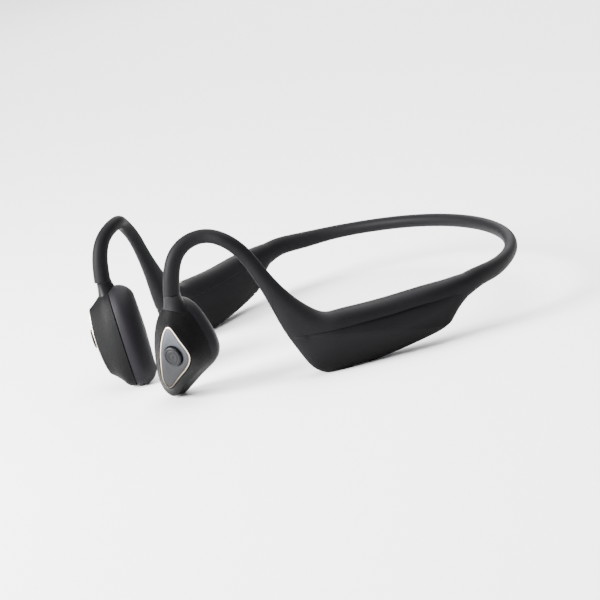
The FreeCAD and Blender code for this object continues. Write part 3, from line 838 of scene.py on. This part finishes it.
class HEADSET_OT_pods(bpy.types.Operator):
    """Make both pods: shell, pad, collar, plate, trim line and button cap."""

    bl_idname = "headset.pods"
    bl_label = "Pods"

    def execute(self, context):
        colours = context.scene.headset_colours
        shell = leather_grain("grained_shell", colours.shell, 0.50)
        collar = moulded("collar_satin", colours.collar, 0.40, 0.3, 0.008, specular_ior_level=0.10)
        pad = moulded("pad_silicone", colours.pad, 0.48, 0.5, 0.006, 0.06, specular_ior_level=0.10)
        # painted shade on plate and trim line: both darken towards the ground
        plate = metal_with_painted_shade("slate_plate", colours.plate, 0.42, 12.0, 24.0, 0.16, 0.5)
        trim = metal_with_painted_shade("champagne_line", colours.trim, 0.32, 7.0, 19.0, 0.16, 1.0)
        cap = moulded("cap_satin", colours.cap, 0.42, 0.25, 0.004, specular_ior_level=0.16)
        pieces = (
            ("pod_body_", pod_body_grid(), False, "_side", "pod_plastic", shell, "pod_shell_"),
            ("pad_skin_", pad_grid(), False, "_side", "pad_silicone", pad, "ear_pad_"),
            ("collar_sleeve_", collar_grid(), False, "_side", "collar_plastic", collar, "hook_collar_"),
            ("face_plate_", plate_grid(), True, "_side", "plate_metal", plate, "accent_plate_"),
            ("gold_line_", trim_grid(), True, "_side", "trim_gold", trim, "accent_trim_"),
            ("press_cap_", cap_grid(), False, "_button", "button_plastic", cap, "multi_button_"),
        )
        for side in SIDES:
            for name, grid, wrap, body, slot, finish, node in pieces:
                piece = surface(name + side, in_pod(grid, side), wrap)
                settle(piece, side + body, slot, finish, node + side)
        return {"FINISHED"}


class HEADSET_OT_controls(bpy.types.Operator):
    """Make the volume keys and the power slider under the housings."""

    bl_idname = "headset.controls"
    bl_label = "Keys and slider"

    def execute(self, context):
        finish = moulded("key_satin", context.scene.headset_colours.collar, 0.4, 0.3, 0.006)
        bottom = UNDERSIDE + 0.05
        levels = [
            (KEY_TOP, 0.0), (bottom + 0.4, 0.0), (bottom + 0.18, 0.06), (bottom + 0.05, 0.18),
            (bottom, 0.35), (bottom + 0.02, 0.6), (bottom + 0.14, 0.85), (bottom + 0.18, 1.1)]
        key, knob = stadium_stack(*KEY_SIZE, levels), stadium_stack(*KNOB_SIZE, levels)
        for node, body, y in KEY_PLACES:
            piece = surface(node.replace("button", "key"), in_housing(key, y, "left"))
            settle(piece, body, "key_plastic", finish, node)
        slider = surface("power_slider", in_housing(knob, SWITCH_Y - SLIDE_TRAVEL / 2, "right"))
        settle(slider, "power_knob", "key_plastic", finish, "power_switch_knob")
        return {"FINISHED"}


class HEADSET_OT_frame_finishes(bpy.types.Operator):
    """Give the frame's own parts their finishes."""

    bl_idname = "headset.frame_finishes"
    bl_label = "Inner parts"

    def execute(self, context):
        steel = metal("plain_steel", (0.55, 0.55, 0.57), 0.32)
        tin = metal("tinned_can", (0.62, 0.61, 0.58), 0.28, 0.8)
        nylon = moulded("filled_nylon", (0.03, 0.03, 0.03), 0.55, 0.5, 0.02)
        board = solder_mask("solder_mask")
        titanium = bpy.data.materials["drawn_titanium"]
        jacket = bpy.data.materials["lead_jacket"]
        foil = metal("pouch_foil", (0.66, 0.67, 0.70), 0.38, grain_mm=1.5, metallic=0.9, depth_mm=0.03)
        lens = moulded("frosted_lens", (0.80, 0.72, 0.52), 0.35, 0.4, 0.004, spread=0.03)
        by_start = {
            "button_switch": nylon, "volume_switches": nylon, "power_slide_switch": nylon,
            "transducer_bracket": nylon,
            "button_board": board, "main_board": board, "charging_board": board,
            "transducer_yoke": steel, "transducer_spring": steel,
            "bracket_screws": steel, "board_screws": steel,
            "transducer_magnet": tin, "bluetooth_module": tin, "microphone": tin, "usb_c_socket": tin,
            "transducer_coil": wound_copper("wound_copper"),
            "ear_hook_wire": titanium, "transducer_lead": jacket, "battery_cell": foil,
            "port_cover": bpy.data.materials["soft_touch_elastomer"], "indicator_light": lens,
        }
        for node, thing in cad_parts.items():
            match = [finish for start, finish in by_start.items() if node.startswith(start)]
            if match:
                thing.data.materials.clear()
                thing.data.materials.append(match[0])
        return {"FINISHED"}


class HEADSET_OT_stage(bpy.types.Operator):
    """Make the floor, the lights and the camera."""

    bl_idname = "headset.stage"
    bl_label = "Stage"

    def execute(self, context):
        self.make_floor()
        self.make_lights(context.scene)
        self.make_camera(context.scene)
        return {"FINISHED"}

    def make_floor(self):
        """One pale square at the height of the ground."""
        x, y = np.array([-1, 1, 1, -1]), np.array([-1, -1, 1, 1])
        corners = np.stack([x, y, 0 * x], -1) * FLOOR_REACH
        floor = raw_mesh("floor", corners, np.array([[0, 1, 2, 3]]), np.zeros((0, 3), int))
        paper = Finish("paper_floor", roughness=0.9)
        pale, paler = (0.90, 0.90, 0.90, 1), (0.92, 0.92, 0.92, 1)
        paper.set("Base Color", paper.mix(paper.noise(400.0, 2.0), pale, paler))
        floor.data.materials.append(paper.material)

    def make_lights(self, scene):
        """Even white sky, one broad sun overhead and soft panels turned to the object."""
        scene.world = bpy.data.worlds.new("soft_sky")
        scene.world.use_nodes = True
        background = scene.world.node_tree.nodes["Background"]
        background.inputs["Color"].default_value = (1, 1, 1, 1)
        background.inputs["Strength"].default_value = SKY_STRENGTH
        sun = bpy.data.lights.new("overhead", "SUN")
        sun.energy, sun.angle = SUN_STRENGTH, math.radians(SUN_SPREAD)
        holder = bpy.data.objects.new("overhead", sun)
        holder.rotation_euler = [math.radians(tilt) for tilt in SUN_TILT]
        scene.collection.objects.link(holder)
        for name, place, width, power in LAMPS:
            lamp = bpy.data.lights.new(name, "AREA")
            lamp.shape, lamp.size, lamp.energy = "SQUARE", width, power
            holder = bpy.data.objects.new(name, lamp)
            holder.location = place
            holder.rotation_euler = (CAMERA_AIM - Vector(place)).to_track_quat("-Z", "Y").to_euler()
            scene.collection.objects.link(holder)

    def make_camera(self, scene):
        """Long lens one metre from the aim, along the azimuth and elevation, then rolled."""
        view = bpy.data.cameras.new("camera")
        view.lens, view.sensor_width = CAMERA_LENS, CAMERA_SENSOR
        view.clip_start, view.clip_end = 0.05, 20.0
        camera = bpy.data.objects.new("camera", view)
        level = math.cos(CAMERA_ELEVATION)
        back = Vector((math.sin(CAMERA_AZIMUTH) * level, -math.cos(CAMERA_AZIMUTH) * level,
                       math.sin(CAMERA_ELEVATION)))
        upright = (-back).to_track_quat("-Z", "Y").to_matrix()
        turned = upright @ Matrix.Rotation(CAMERA_ROLL, 3, "Z")
        camera.matrix_world = Matrix.Translation(CAMERA_AIM + back) @ turned.to_4x4()
        scene.collection.objects.link(camera)
        scene.camera = camera


PIECES = (
    HEADSET_OT_stage, HEADSET_OT_sides, HEADSET_OT_neckband, HEADSET_OT_pods, HEADSET_OT_controls,
    HEADSET_OT_frame_finishes,
)


class HEADSET_PT_panel(bpy.types.Panel):
    """Lists the steps and settings."""

    bl_idname = "HEADSET_PT_panel"
    bl_label = "Headphones"
    bl_space_type = "VIEW_3D"
    bl_region_type = "UI"
    bl_category = "Headphones"

    def draw(self, context):
        for group in (context.scene.headset_sizes, context.scene.headset_colours):
            for name in group.__annotations__:
                self.layout.prop(group, name)
        for piece in PIECES:
            self.layout.operator(piece.bl_idname)


CLASSES = (HeadsetColours, HeadsetSizes) + PIECES + (HEADSET_PT_panel,)


def register():
    for kind in CLASSES:
        bpy.utils.register_class(kind)
    bpy.types.Scene.headset_colours = bpy.props.PointerProperty(type=HeadsetColours)
    bpy.types.Scene.headset_sizes = bpy.props.PointerProperty(type=HeadsetSizes)


def unregister():
    del bpy.types.Scene.headset_sizes
    del bpy.types.Scene.headset_colours
    for kind in reversed(CLASSES):
        bpy.utils.unregister_class(kind)


def main():
    """Registers the steps and builds every piece in order."""
    register()
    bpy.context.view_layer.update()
    for piece in PIECES:
        group, name = piece.bl_idname.split(".")
        if getattr(getattr(bpy.ops, group), name)() != {"FINISHED"}:
            raise RuntimeError(piece.bl_label + " was not finished")


if __name__ == "__main__":
    main()
